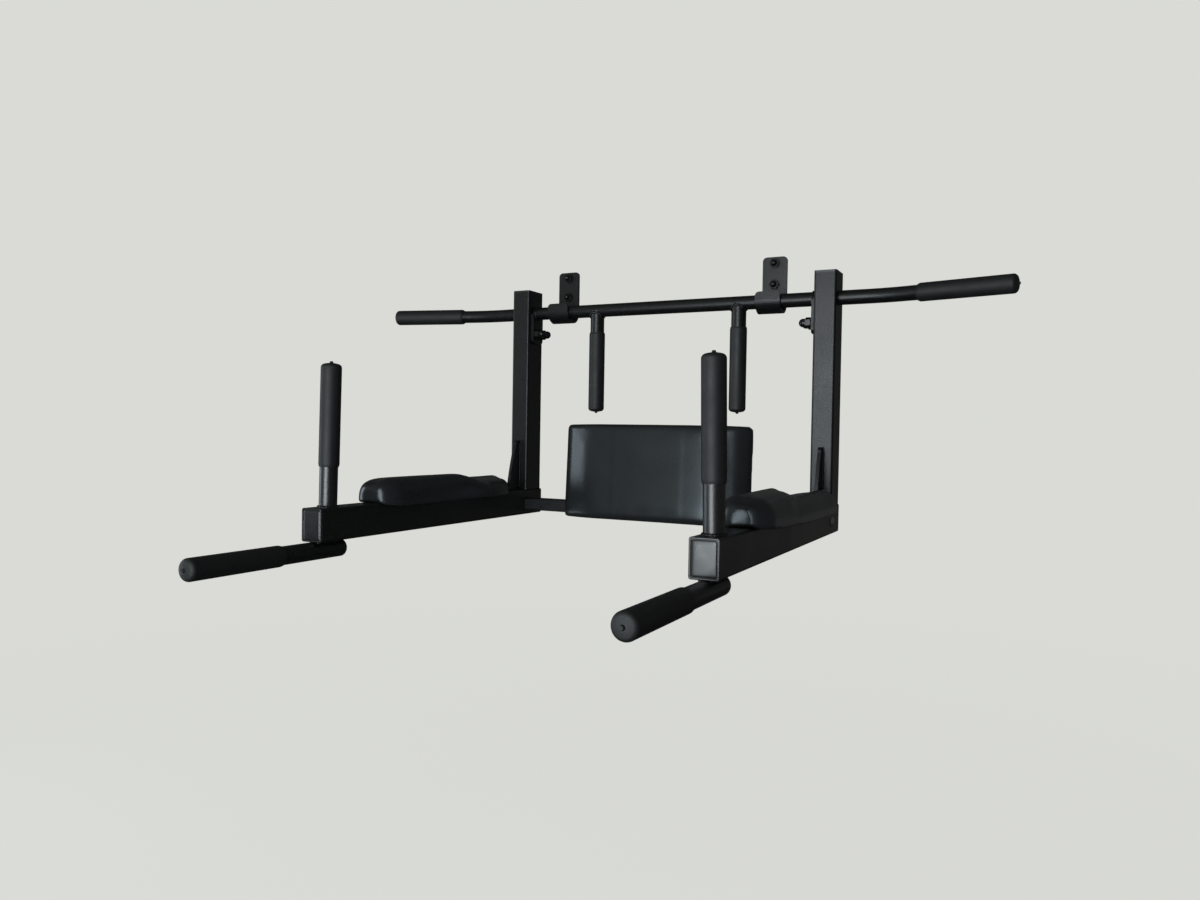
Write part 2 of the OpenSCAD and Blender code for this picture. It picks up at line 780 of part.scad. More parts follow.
// Heights of the elbow cushion over the arm at a distance k from its front end, with u from -1 at the
// inner side to 1 at the outer side
function elbow_top(k, u) =
    let (t = smooth((k - elbow_lobe_len + 62 * u) / (74 - 30 * u)))
    (elbow_front_h + elbow_lobe_rise * smooth(-2 * u)) * (1 - t)
    + (elbow_rear_h + elbow_rise * smooth(2 * u) - 2 * smooth(-1.25 * u)) * t;

function elbow_base(k, u) =
    let (inner = 1 - (elbow_skirt + 1) * (1 - exp(-k / 45)),
         outer = elbow_lift - (elbow_outer_skirt + elbow_lift) * (1 - exp(-k / 100)))
    inner + (outer - inner) * (1 + u) / 2;

function elbow_outer(k) = elbow_outer_hw - 28 * (1 - round_end(k, elbow_corner))
    - 12 * (1 - round_end(elbow_pad_len - k, 12));

function elbow_inner(k) = elbow_inner_hw - 31 * (1 - round_end(k, elbow_corner + 4))
    - (elbow_inner_hw + 8) * (1 - round_end(elbow_pad_len - k, elbow_tail, 1.7));

function elbow_ring(k) =
    let (outer = elbow_outer(k), inner = elbow_inner(k), half = (outer + inner) / 2,
         lean = 0.55 + 0.45 * round_end(k, elbow_nose), fall = 0.25 + 0.75 * round_end(elbow_pad_len - k, 30))
    [for (a = [0:7.5:180])
        let (s = signed_power(cos(a), 0.69), x = half * s + (outer - inner) / 2, base = elbow_base(k, s),
             h = (elbow_top(k, x / 41) - base) * lean * fall)
        [x, elbow_back - elbow_pad_len + k, arm_top + base + h * signed_power(sin(a), 0.69)]];

module elbow_cushion(side) {
    front = [0, 0.02, 0.07, 0.15, 0.27, 0.43, 0.65, 1];
    rear = [1, 0.72, 0.5, 0.32, 0.19, 0.1, 0.04, 0.01, 0];
    body = elbow_pad_len - elbow_nose - elbow_tail;
    d = concat([for (k = front) k * elbow_nose], [for (t = [0.07:0.07:0.94]) elbow_nose + t * body],
               [for (k = rear) elbow_pad_len - k * elbow_tail]);
    color(vinyl_black) at_side(side) difference() {
        loft([for (k = d) elbow_ring(k)]);
        translate([-post_w / 2 - pad_fit, elbow_back - elbow_pad_len - 1, arm_top - 2 * elbow_outer_skirt])
            cube([post_w + 2 * pad_fit, elbow_pad_len + 2, 2 * elbow_outer_skirt]);
        translate([0, elbow_board_back - elbow_board_len / 2, arm_top - 1]) linear_extrude(elbow_board_t + pad_fit + 1)
            rounded_rect(elbow_board_w + 2 * pad_fit, elbow_board_len + 2 * pad_fit, 10 + pad_fit);
    }
}

module elbow_bolts() {
    color(zinc) for (side = [-1, 1], y = elbow_bolt_y) at_side(side) translate([0, y, arm_base])
        rotate([180, 0, 0]) button_screw(pad_bolt_d, arm_h + elbow_board_t - 2, pad_head_d, 0.16);
}

module tee_nuts() {
    color(zinc) {
        at_back_pad() at_back_screws() mirror([0, 0, 1]) tee_nut(back_board_t);
        for (side = [-1, 1], y = elbow_bolt_y) at_side(side) translate([0, y, arm_top]) tee_nut(elbow_board_t);
    }
}

hook(-1);  // hook_left
hook(1);  // hook_right
wall_studs();
wall_washers();
wall_cap_nuts();
post(-1);  // post_left
post(1);  // post_right
post_plug(-1);  // post_plug_left
post_plug(1);  // post_plug_right
arm(-1);  // arm_left
arm(1);  // arm_right
arm_front_plug(-1);  // arm_front_plug_left
arm_front_plug(1);  // arm_front_plug_right
arm_rear_plug(-1);  // arm_rear_plug_left
arm_rear_plug(1);  // arm_rear_plug_right
gusset(-1);  // gusset_left
gusset(1);  // gusset_right
pull_up_bar();
bar_ear(-1);  // bar_ear_left
bar_ear(1);  // bar_ear_right
ear_studs();
ear_washers();
ear_cap_nuts();
wing_grip(-1);  // wing_grip_left
wing_grip(1);  // wing_grip_right
hanging_tube(-1);  // hanging_tube_left
hanging_tube(1);  // hanging_tube_right
hanging_grip(-1);  // hanging_grip_left
hanging_grip(1);  // hanging_grip_right
upright_tube(-1);  // upright_tube_left
upright_tube(1);  // upright_tube_right
upright_grip(-1);  // upright_grip_left
upright_grip(1);  // upright_grip_right
dip_tube(-1);  // dip_tube_left
dip_tube(1);  // dip_tube_right
dip_tube_plug(-1);  // dip_tube_plug_left
dip_tube_plug(1);  // dip_tube_plug_right
dip_grip(-1);  // dip_grip_left
dip_grip(1);  // dip_grip_right
crossbar();
crossbar_blocks();
crossbar_bolts();
back_straps();
back_board();
back_cushion();
back_screws();
elbow_board(-1);  // elbow_board_left
elbow_board(1);  // elbow_board_right
elbow_cushion(-1);  // elbow_cushion_left
elbow_cushion(1);  // elbow_cushion_right
elbow_bolts();
tee_nuts();
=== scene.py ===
"""Looks of the wall-hung dip, leg-raise and pull-up station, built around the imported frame."""
import json
import math

import bmesh
import bpy
import numpy as np
from mathutils import Matrix, Vector


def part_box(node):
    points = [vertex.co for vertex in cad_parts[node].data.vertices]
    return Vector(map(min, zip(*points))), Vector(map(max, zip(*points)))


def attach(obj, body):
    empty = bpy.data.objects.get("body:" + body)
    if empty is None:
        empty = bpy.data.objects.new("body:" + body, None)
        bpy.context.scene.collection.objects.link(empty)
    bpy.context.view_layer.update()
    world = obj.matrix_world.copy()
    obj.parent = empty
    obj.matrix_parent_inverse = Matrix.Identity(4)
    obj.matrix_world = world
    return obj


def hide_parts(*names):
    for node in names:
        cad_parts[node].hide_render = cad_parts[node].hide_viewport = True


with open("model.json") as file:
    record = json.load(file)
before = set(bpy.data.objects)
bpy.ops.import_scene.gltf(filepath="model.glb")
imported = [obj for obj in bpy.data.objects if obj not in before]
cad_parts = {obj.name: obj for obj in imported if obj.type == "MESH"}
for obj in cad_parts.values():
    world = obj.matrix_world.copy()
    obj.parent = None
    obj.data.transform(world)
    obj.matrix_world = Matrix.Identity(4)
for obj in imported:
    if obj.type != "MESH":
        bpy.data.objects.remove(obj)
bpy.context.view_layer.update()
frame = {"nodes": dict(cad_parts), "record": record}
NODES = frame["nodes"]
# One millimetre in metres
MM = 0.001
FRAME_BODY = "frame"

# Places that the pieces are built from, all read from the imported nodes, in metres


def middle(node):
    low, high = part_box(node)
    return (low + high) / 2


def size(node):
    low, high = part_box(node)
    return high - low


BAR_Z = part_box("pull_up_bar")[1].z - size("pull_up_bar").z / 2
BAR_Y = middle("post_left").y
BAR_R = size("pull_up_bar").z / 2
ARM_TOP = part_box("arm_left")[1].z
ARM_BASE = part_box("arm_left")[0].z
ARM_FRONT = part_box("arm_front_plug_left")[0].y
POST_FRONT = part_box("post_left")[0].y
POST_W = size("post_left").x
SIDES = {"left": -1, "right": 1}
SIDE_X = {s: middle("arm_" + s).x for s in SIDES}
FRAME_X = (SIDE_X["left"] + SIDE_X["right"]) / 2


# Materials

# Mark before the name of a node's own setting, as against one of its sockets
SETTING = "_"
# The middle part of a noise's values, where most of them lie
NOISE_RANGE = (0.3, 0.7)
# Cool tint of all black pieces
COOL = (0.93, 0.99, 1.06)


class Nodes:
    """A few short ways to add shader nodes to one material.

    A socket is called by its name, with _ for each space, or by i and its number.
    """

    def __init__(self, tree):
        self.tree = tree

    def add(self, kind, **inputs):
        node = self.tree.nodes.new(kind)
        for key, value in inputs.items():
            if key.startswith(SETTING):
                setattr(node, key[1:], value)
            else:
                self.set(node, key.replace("_", " "), value)
        return node

    def set(self, node, key, value):
        socket = node.inputs[int(key[1:])] if key[0] == "i" and key[1:].isdigit() else node.inputs[key]
        if isinstance(value, bpy.types.NodeSocket):
            self.tree.links.new(value, socket)
        else:
            socket.default_value = value

    def noise(self, where, scale, detail=3.0, rough=0.55):
        node = self.add("ShaderNodeTexNoise", Vector=where, Scale=scale, Detail=detail, Roughness=rough)
        return node.outputs["Fac"]

    def range(self, value, low, high, to_low, to_high):
        ends = {"From_Min": low, "From_Max": high, "To_Min": to_low, "To_Max": to_high}
        return self.add("ShaderNodeMapRange", Value=value, **ends).outputs["Result"]

    def between(self, noise, low, high):
        """From low to high over the middle of a noise's values."""
        return self.range(noise, *NOISE_RANGE, low, high)

    def mix(self, factor, first, second):
        node = self.add("ShaderNodeMix", _data_type="RGBA")
        self.set(node, "i0", factor)
        self.set(node, "i6", first)
        self.set(node, "i7", second)
        return node.outputs[2]

    def math(self, operation, first, second):
        return self.add("ShaderNodeMath", _operation=operation, i0=first, i1=second).outputs[0]

    def bump(self, height, strength, distance):
        node = self.add("ShaderNodeBump", Strength=strength, Distance=distance, Height=height)
        return node.outputs["Normal"]


def gray(value, tint=(1.0, 1.0, 1.0)):
    """A grey of one brightness, tinted."""
    return tuple(value * t for t in tint) + (1.0,)


def material(name, build, **fixed):
    """A material with some shader values fixed, and the rest from a function that builds their nodes."""
    mat = bpy.data.materials.new(name)
    mat.use_nodes = True
    tree = mat.node_tree
    tree.nodes.clear()
    n = Nodes(tree)
    shader = n.add("ShaderNodeBsdfPrincipled", **fixed)
    out = n.add("ShaderNodeOutputMaterial")
    tree.links.new(shader.outputs[0], out.inputs["Surface"])
    place = n.add("ShaderNodeTexCoord").outputs["Object"]
    for key, value in build(n, place).items():
        n.set(shader, key, value)
    return mat


def powder_coat(n, place):
    """Black powder coat: fine orange peel, a sparse lighter fleck and a faint cloud of sheen."""
    peel = n.noise(place, scale=420.0, detail=2.0, rough=0.5)
    grain = n.noise(place, scale=1500.0, detail=1.0, rough=0.5)
    cloud = n.noise(place, scale=9.0, detail=4.0, rough=0.6)
    fleck = n.range(n.noise(place, scale=900.0, detail=0.0), low=0.66, high=0.74, to_low=0.0, to_high=1.0)
    base = n.mix(cloud, gray(0.0024, COOL), gray(0.004, COOL))
    height = n.math("ADD", peel, n.math("MULTIPLY", grain, 0.35))
    return {
        "Base Color": n.mix(n.math("MULTIPLY", fleck, 0.5), base, gray(0.05, COOL)),
        "Roughness": n.between(cloud, low=0.32, high=0.39),
        "Normal": n.bump(height, strength=0.35, distance=0.0006),
    }


def rubber(n, place):
    """Foamed black rubber: open fine grain and faint patches where hands have been."""
    grain = n.noise(place, scale=650.0, detail=4.0, rough=0.7)
    patch = n.noise(place, scale=22.0, detail=4.0, rough=0.6)
    return {
        "Base Color": n.mix(patch, gray(0.004, COOL), gray(0.007, COOL)),
        "Roughness": n.between(patch, low=0.52, high=0.66),
        "Normal": n.bump(grain, strength=0.35, distance=0.0006),
    }


def plug_plastic(n, place):
    """Moulded black plastic with a light spark-eroded grain."""
    grain = n.noise(place, scale=800.0, detail=3.0, rough=0.6)
    cloud = n.noise(place, scale=35.0, detail=3.0, rough=0.55)
    return {
        "Base Color": n.mix(cloud, gray(0.010, COOL), gray(0.016, COOL)),
        "Roughness": n.between(cloud, low=0.26, high=0.36),
        "Normal": n.bump(n.math("ADD", grain, cloud), strength=0.12, distance=0.0005),
    }


def vinyl(n, place):
    """Black upholstery vinyl: pebbled leather grain with fine creases and slightly worn sheen."""
    cells = n.add("ShaderNodeTexVoronoi", Vector=place, Scale=700.0, _feature="SMOOTH_F1").outputs["Distance"]
    crease = n.noise(place, scale=260.0, detail=5.0, rough=0.7)
    cloud = n.noise(place, scale=7.0, detail=3.0, rough=0.55)
    height = n.math("ADD", cells, n.math("MULTIPLY", crease, 0.6))
    return {
        "Base Color": n.mix(cloud, gray(0.012, COOL), gray(0.018, COOL)),
        "Roughness": n.between(cloud, low=0.24, high=0.31),
        "Normal": n.bump(height, strength=0.12, distance=0.0004),
    }


def black_nut(n, place):
    """Polished black nickel with fine turning marks."""
    mark = n.noise(place, scale=900.0, detail=2.0, rough=0.5)
    return {
        "Base Color": n.mix(mark, gray(0.004), gray(0.009)),
        "Roughness": n.between(mark, low=0.12, high=0.20),
        "Normal": n.bump(mark, strength=0.05, distance=0.0003),
    }


def black_washer(n, place):
    """Black oxide steel: even, fine and only slightly shiny."""
    mark = n.noise(place, scale=700.0, detail=3.0, rough=0.6)
    return {
        "Base Color": n.mix(mark, gray(0.003), gray(0.007)),
        "Roughness": n.between(mark, low=0.34, high=0.44),
        "Normal": n.bump(mark, strength=0.08, distance=0.0003),
    }


def zinc(n, place):
    """Zinc-plated steel with a clouded, slightly brushed surface."""
    cloud = n.noise(place, scale=160.0, detail=4.0, rough=0.65)
    return {
        "Base Color": n.mix(cloud, gray(0.42), gray(0.60)),
        "Roughness": n.between(cloud, low=0.28, high=0.45),
        "Normal": n.bump(cloud, strength=0.08, distance=0.0003),
    }


def plywood(n, place):
    """Birch plywood: long grain, darker latewood lines and a few specks."""
    wave = n.add("ShaderNodeTexWave", Vector=place, Scale=9.0, Distortion=7.0, Detail=3.0, Detail_Scale=1.2,
                 _bands_direction="Z").outputs["Fac"]
    grain = n.noise(place, scale=240.0, detail=3.0, rough=0.6)
    light = n.mix(wave, (0.42, 0.29, 0.16, 1.0), (0.53, 0.38, 0.22, 1.0))
    return {
        "Base Color": n.mix(n.math("MULTIPLY", grain, 0.35), light, (0.30, 0.19, 0.10, 1.0)),
        "Roughness": n.between(grain, low=0.55, high=0.75),
        "Normal": n.bump(grain, strength=0.15, distance=0.0004),
    }


PAINT = material("powder_coat", powder_coat, Specular_IOR_Level=0.5)
WORN_PAINT = material("worn_powder_coat", powder_coat, Specular_IOR_Level=0.95)
RUBBER = material("grip_rubber", rubber, Specular_IOR_Level=0.65)
PLUG = material("plug_plastic", plug_plastic, Specular_IOR_Level=0.7)
VINYL = material("vinyl", vinyl, Specular_IOR_Level=0.5, Specular_Tint=(0.84, 0.94, 1.0, 1.0))
NUT = material("black_nut", black_nut, Specular_IOR_Level=0.45)
WASHER = material("black_washer", black_washer, Specular_IOR_Level=0.4)
ZINC = material("zinc", zinc, Metallic=1.0)
WOOD = material("plywood", plywood)

BY_SLOT = {
    "frame_paint": PAINT, "grip_rubber": RUBBER, "plug_plastic": PLUG, "vinyl": VINYL,
    "nut_black": NUT, "zinc": ZINC, "plywood": WOOD,
}
OWN_LOOK = {
    "wall_washers": WASHER, "ear_washers": WASHER,
    "upright_tube_left": WORN_PAINT, "upright_tube_right": WORN_PAINT,
}
for part in frame["record"]["subparts"]:
    mesh = NODES[part["node"]].data
    mesh.materials.clear()
    mesh.materials.append(OWN_LOOK.get(part["node"], BY_SLOT[part["material_slot"]]))


# Meshes

# Distance below which two points of a skin are one, in metres
SAME_POINT = 1e-6
# Angle from which an edge of a cut stays sharp
CUT_SHARP = math.radians(50)
# Cloth settings that fill a cushion, and the frames it takes
CLOTH = {
    "quality": 6, "mass": 0.3, "tension_stiffness": 40.0, "compression_stiffness": 40.0,
    "shear_stiffness": 15.0, "bending_stiffness": 1.0, "use_pressure": True, "uniform_pressure_force": 4.0,
}
CLOTH_FRAMES = 20
# Most that a filled cushion stands out past its form, in metres
MOST_FILL = 1.2 * MM
# Times that the movement of a filled cushion is averaged with its neighbours
EVENING = 12
# Lets a length be a divisor, in metres
TINY = 1e-9


def piece(name, verts, faces, mat, slot):
    """A mesh from points in metres and faces, with its normals turned outward."""
    mesh = bpy.data.meshes.new(name)
    mesh.from_pydata([tuple(v) for v in verts], [], faces)
    work = bmesh.new()
    work.from_mesh(mesh)
    bmesh.ops.remove_doubles(work, verts=work.verts, dist=SAME_POINT)
    bmesh.ops.recalc_face_normals(work, faces=work.faces)
    work.to_mesh(mesh)
    work.free()
    for polygon in mesh.polygons:
        polygon.use_smooth = True
    mesh.materials.append(mat)
    obj = bpy.data.objects.new(name, mesh)
    bpy.context.scene.collection.objects.link(obj)
    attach(obj, FRAME_BODY)
    return obj


def slot_of(node):
    """The record's material slot of a node."""
    return next(part["material_slot"] for part in frame["record"]["subparts"] if part["node"] == node)


def loft(rings):
    """Points and faces of a closed skin through rings of equally many points."""
    n = len(rings[0])
    verts = [p for ring in rings for p in ring]
    faces = []
    for k in range(len(rings) - 1):
        for i in range(n):
            a, b = k * n + i, k * n + (i + 1) % n
            faces.append((a, b, b + n, a + n))
    faces.append(tuple(range(n - 1, -1, -1)))
    faces.append(tuple((len(rings) - 1) * n + i for i in range(n)))
    return verts, faces


def points_of(mesh):
    """The mesh's points, one in each row."""
    points = np.empty(len(mesh.vertices) * 3)
    mesh.vertices.foreach_get("co", points)
    return points.reshape(-1, 3)


def plump(obj, voxel, held, smoothing):
    """Fill a cushion with air: remesh it, blow it up as cloth with some points held, and limit the rest."""
    scene = bpy.context.scene
    form = bpy.data.objects.new("form", obj.data.copy())
    scene.collection.objects.link(form)
    remesh = obj.modifiers.new("skin", "REMESH")
    remesh.mode, remesh.voxel_size, remesh.use_smooth_shade = "VOXEL", voxel, True
    spread = obj.modifiers.new("spread", "SMOOTH")
    spread.factor, spread.iterations = 0.5, smoothing
    onto = obj.modifiers.new("onto", "SHRINKWRAP")
    onto.target, onto.wrap_method = form, "NEAREST_SURFACEPOINT"
    bake(obj)
    bpy.data.objects.remove(form)
    start = points_of(obj.data)
    pins = obj.vertex_groups.new(name="held")
    pins.add([v.index for v in obj.data.vertices if held(v.co)], 1.0, "REPLACE")
    cloth = obj.modifiers.new("air", "CLOTH")
    for key, value in CLOTH.items():
        setattr(cloth.settings, key, value)
    cloth.settings.vertex_group_mass = "held"
    cloth.settings.effector_weights.gravity = 0.0
    cloth.point_cache.frame_start, cloth.point_cache.frame_end = 1, CLOTH_FRAMES
    for frame_number in range(1, CLOTH_FRAMES + 1):
        scene.frame_set(frame_number)
    bake(obj)
    scene.frame_set(1)
    move = points_of(obj.data) - start
    far = np.linalg.norm(move, axis=1, keepdims=True) + TINY
    move *= MOST_FILL * np.tanh(far / MOST_FILL) / far
    edges = np.empty(len(obj.data.edges) * 2, dtype=int)
    obj.data.edges.foreach_get("vertices", edges)
    one, other = edges.reshape(-1, 2).T
    count = np.bincount(edges, minlength=len(start))[:, None]
    for _ in range(EVENING):
        near = np.zeros_like(move)
        np.add.at(near, one, move[other])
        np.add.at(near, other, move[one])
        move = (move + near / count) / 2
    obj.data.vertices.foreach_set("co", (start + move).ravel())
    obj.vertex_groups.clear()
    finer = obj.modifiers.new("finer", "SUBSURF")
    finer.levels = finer.render_levels = 1
    bake(obj)


def quarter(step):
    """Angles over a quarter turn, every so many degrees."""
    return [math.radians(a) for a in range(0, 91, step)]


def rounded_rect(w, h, r, steps=6):
    """Points of a rectangle with rounded corners about the origin."""
    ring = []
    for cx, cy, a in ((1, 1, 0), (-1, 1, 90), (-1, -1, 180), (1, -1, 270)):
        for t in range(steps + 1):
            angle = math.radians(a + 90 * t / steps)
            ring.append((cx * (w / 2 - r) + r * math.cos(angle), cy * (h / 2 - r) + r * math.sin(angle)))
    return ring


def cut(obj, rings):
    """Take the closed form through the rings out of a piece, and keep the cut's edges sharp."""
    verts, faces = loft(rings)
    mesh = bpy.data.meshes.new("cutter")
    mesh.from_pydata([tuple(v) for v in verts], [], faces)
    work = bmesh.new()
    work.from_mesh(mesh)
    bmesh.ops.recalc_face_normals(work, faces=work.faces)
    work.to_mesh(mesh)
    work.free()
    cutter = bpy.data.objects.new("cutter", mesh)
    bpy.context.scene.collection.objects.link(cutter)
    boolean = obj.modifiers.new("cut", "BOOLEAN")
    boolean.operation, boolean.solver, boolean.object = "DIFFERENCE", "EXACT", cutter
    bake(obj)
    bpy.data.objects.remove(cutter)
    bpy.data.meshes.remove(mesh)
    obj.data.set_sharp_from_angle(angle=CUT_SHARP)


def bake(obj):
    """Apply all modifiers to the object's own mesh, and shade it smooth."""
    graph = bpy.context.evaluated_depsgraph_get()
    done = bpy.data.meshes.new_from_object(obj.evaluated_get(graph))
    done.materials.clear()
    done.materials.append(obj.data.materials[0])
    obj.modifiers.clear()
    obj.data = done
    for polygon in done.polygons:
        polygon.use_smooth = True


def draw_in(distance, radius):
    """How far a quarter round is drawn in at some distance from its end."""
    if distance >= radius:
        return 0.0
    return radius - math.sqrt(max(radius * radius - (radius - distance) ** 2, 0.0))


def smooth_step(t):
    """From 0 to 1 with a soft start and end."""
    t = min(max(t, 0.0), 1.0)
    return t * t * (3 - 2 * t)


def signed_power(value, power):
    """The power of a value's size, with the value's own sign."""
    return math.copysign(abs(value) ** power, value)


# Back cushion, in millimetres in the plane of its board: x across, y forward is negative, z up

TILT = math.radians(3.5)
BACK_W = size("back_cushion").x / MM
BACK_H = 186.0
BACK_DEPTH = 47.0
# Corner between the front and each side: depth and width of its round
BACK_SIDE_R = 25.0
BACK_SIDE_W = 28.0
# Side strips where the front falls back: width, slope, and softness of the bend
BACK_FALL_W = 66.0
BACK_FALL = 0.30
BACK_FALL_BEND = 14.0
# Inward of the strip by this many times the bend's softness, the front is quite flat
BACK_FLAT_FROM = 4
# Rounding of the corners as seen from the front, and of the upper and lower edges
BACK_CORNER_R = 4.0
BACK_EDGE_R = 10.0
# Bulge of the front, and how far the pad reaches below the bend of its straps
BACK_CROWN = 1.0
BACK_DROP = 31.0
# How far the front stays behind its full depth, and the sides stand out past their full width
BACK_SLIM = 0.2
BACK_SWELL = 2.0
# Size of the remeshed skin's squares, and how often they are smoothed before they lie on the form again
BACK_VOXEL = 5.0
BACK_SMOOTHING = 8
# Depth of the part by the board that is held
BACK_HELD = 2.0
# Steps of the skin: over half the front, and over the height
BACK_FLAT_STEPS = 24
BACK_HEIGHT_STEPS = 24
# The board in the pad's back: its distance from the pad's edges, corner radius and thickness
BOARD_EDGE = 8.0
BOARD_R = 10.0
BOARD_T = 12.0
# How far the cutter of the back pocket reaches out behind
POCKET_OUT = 6.0
# Clearance between a cushion and what it holds
FIT = 0.3
# The straps' thickness, and the place of their bend over the crossbar
STRAP_T = 4.0
BEND_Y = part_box("crossbar")[0].y / MM - STRAP_T
BEND_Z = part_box("crossbar")[1].z / MM + STRAP_T * math.tan(TILT / 2)


def from_back(x, y, z):
    """A point of the back pad's own frame, in metres of the row's frame."""
    return Vector((
        FRAME_X + x * MM,
        (BEND_Y + y * math.cos(TILT) + z * math.sin(TILT)) * MM,
        (BEND_Z - y * math.sin(TILT) + z * math.cos(TILT)) * MM,
    ))


def back_fall(x, half_width):
    """How far the front falls back beside its flat middle, by a soft bend and an even slope."""
    past = abs(x) - (half_width - BACK_FALL_W)
    if past <= -BACK_FLAT_FROM * BACK_FALL_BEND:
        return 0.0
    return BACK_FALL * (past + math.hypot(past, BACK_FALL_BEND)) / 2


def back_ring(z, side_inset, inset, crown):
    """The cushion's section at one height, from one side's back over the front to the other's."""
    r, wide = BACK_SIDE_R - inset / 2, BACK_SIDE_W - inset / 2
    hw = BACK_W / 2 - side_inset + BACK_SWELL
    front = BACK_DEPTH - inset - BACK_SLIM
    arc = quarter(5)
    n = BACK_FLAT_STEPS
    flat = [t / n for t in range(n - 1, -n, -1)]
    ring = [(hw, 0.0), (hw, -(front - r) / 2)]
    ring += [(hw - wide + wide * math.cos(a), -(front - r) - r * math.sin(a)) for a in arc]
    ring += [(t * (hw - wide), -front - crown * (1 - t * t)) for t in flat]
    ring += [(wide - hw - wide * math.cos(a), -(front - r) - r * math.sin(a)) for a in reversed(arc)]
    ring += [(-hw, -(front - r) / 2), (-hw, 0.0)]
    return [from_back(x, min(y + back_fall(x, hw), 0.0), z) for x, y in ring]


def make_back_cushion():
    ends = [BACK_EDGE_R * (1 - math.cos(a)) for a in quarter(6)]
    n = BACK_HEIGHT_STEPS
    steps = [BACK_EDGE_R + (BACK_H - 2 * BACK_EDGE_R) * t / n for t in range(1, n)]
    heights = ends + steps + [BACK_H - e for e in reversed(ends)]
    rings = []
    for k in heights:
        inset = max(draw_in(k, BACK_EDGE_R), draw_in(BACK_H - k, BACK_EDGE_R))
        side_inset = max(draw_in(k, BACK_CORNER_R), draw_in(BACK_H - k, BACK_CORNER_R))
        t = 2 * k / BACK_H - 1
        rings.append(back_ring(k - BACK_DROP, side_inset, inset, BACK_CROWN * (1 - t * t)))
    obj = piece("back_pad", *loft(rings), VINYL, "vinyl")
    back = from_back(0, 0, 0)
    across = (from_back(0, -1, 0) - back).normalized()

    def held(point):
        return (point - back).dot(across) < BACK_HELD * MM

    plump(obj, BACK_VOXEL * MM, held, BACK_SMOOTHING)
    w, h = BACK_W - 2 * BOARD_EDGE + 2 * FIT, BACK_H - 2 * BOARD_EDGE + 2 * FIT
    middle_z = BACK_H / 2 - BACK_DROP
    outline = rounded_rect(w, h, BOARD_R + FIT)
    ends = POCKET_OUT, -BOARD_T - FIT
    cut(obj, [[from_back(x, y, middle_z + z) for x, z in outline] for y in ends])
    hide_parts("back_cushion")
    return obj


# Elbow cushions, in millimetres over the arm: x to the outer side, k from the front end, z over the arm;
# u goes from -1 at the inner side to 1 at the outer one

ELBOW_LEN = size("elbow_cushion_left").y / MM
ELBOW_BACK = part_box("elbow_cushion_left")[1].y / MM
ELBOW_OUTER, ELBOW_INNER = 42.0, 40.0
ELBOW_LOBE = 178.0
ELBOW_FRONT_H, ELBOW_LOBE_RISE = 40.0, 4.0
ELBOW_REAR_H, ELBOW_RIM_RISE, ELBOW_INNER_SINK = 27.0, 5.5, 2.0
ELBOW_NOSE, ELBOW_CORNER, ELBOW_TAIL = 36.0, 34.0, 85.0
ELBOW_SKIRT, ELBOW_OUTER_SKIRT, ELBOW_LIFT = 5.5, 11.0, 4.0
# Power of the section's corners: below 1 they are squarer than an ellipse's
ELBOW_SECTION = 0.69
# Step between lobe and rear part: how far forward it starts at the outer side, its length, and how much
# shorter it gets there
STEP_SLANT, STEP_LEN, STEP_SHRINK = 62, 74, 30
# How fast the rises and the sink grow to the sides
RISE_RATE, SINK_RATE = 2, 1.25
# Start of the base over the arm, and the lengths over which its two sides come down
BASE_START, INNER_DOWN_LEN, OUTER_DOWN_LEN = 1, 45, 100
# How far the plan's corners draw in: front outer, front inner, rear outer and rear inner past the middle
NOSE_OUTER_IN, NOSE_INNER_IN, TAIL_OUTER_IN, TAIL_INNER_PAST = 28, 31, 12, 8
# Lengths of the plan's smaller corners, and the power of the tail's curve
INNER_CORNER_MORE, TAIL_CORNER, TAIL_POWER = 4, 12, 1.7
# Height left at the nose's and the tail's very end, and the length of the tail's round
NOSE_LEFT, TAIL_LEFT, TAIL_ROUND = 0.55, 0.25, 30
# Most that the base is lowered beside the arm's front, and the length over which that ends
WRAP, WRAP_LEN = 1.5, 200
# Half width over which u is spread for the top
TOP_HALF_W = 41
ARM_CLEAR = 0.4
ELBOW_SLIM = 0.3
ELBOW_VOXEL = 4.0
ELBOW_SMOOTHING = 2
# The part by the arm that is held: how far past its sides and over its top
HELD_BESIDE, HELD_OVER = 2.0, 3.0
# Steps of the skin: along the middle, across the underside
ELBOW_STEPS, UNDER_STEPS = 60, 20
# Cutters: the channel's corner and depth under the arm's top, and how far the pocket's goes below it
CHANNEL_R, CHANNEL_DEPTH, POCKET_DOWN = 1.0, 30.0, 1.0


def round_end(distance, reach, power=2.0):
    """From 0 at a rounded end to 1 at the given distance from it."""
    t = min(max(distance / reach, 0.0), 1.0)
    return max(1 - (1 - t) ** power, 0.0) ** (1 / power)


def elbow_top(k, u):
    """Height of the top: the front lobe, a slanted step down, and the rear part with its outer rim."""
    t = smooth_step((k - ELBOW_LOBE + STEP_SLANT * u) / (STEP_LEN - STEP_SHRINK * u))
    lobe = ELBOW_FRONT_H + ELBOW_LOBE_RISE * smooth_step(-RISE_RATE * u)
    rear = ELBOW_REAR_H + ELBOW_RIM_RISE * smooth_step(RISE_RATE * u)
    rear -= ELBOW_INNER_SINK * smooth_step(-SINK_RATE * u)
    return lobe * (1 - t) + rear * t


